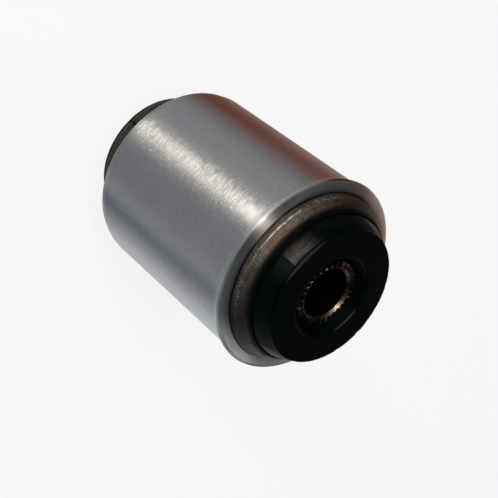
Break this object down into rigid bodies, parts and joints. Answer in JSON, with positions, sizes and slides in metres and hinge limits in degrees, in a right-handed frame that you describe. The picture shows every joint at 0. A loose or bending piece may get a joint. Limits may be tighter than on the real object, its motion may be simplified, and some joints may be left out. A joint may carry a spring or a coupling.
{
  "type": "rubber metal bush",
  "caption": "Cylindrical rubber-metal bush: bonded rubber between an inner bolt tube and an outer shell, pressed into a bright steel sleeve with a small end collar.",
  "frame": {"origin": "centre of the rear rubber face, the face the bush stands on", "axes": "+Z along the bush's axis towards the collar end, -Y through the moulding seams of the rubber bosses"},
  "size_m": [0.06, 0.06, 0.0856],
  "materials": {
    "turned_steel": "bright turned, with fine scratches round the axis",
    "shell_steel": "dull brown-grey phosphated steel, lightly worn",
    "black_rubber": "matt moulded black rubber",
    "tube_steel": "dull oiled steel with a trace of rust at the serrations"
  },
  "bodies": {
    "root": {"outer_sleeve": "turned_steel", "bonded_shell": "shell_steel", "rubber_body": "black_rubber", "inner_tube": "tube_steel"}
  },
  "joints": []
}
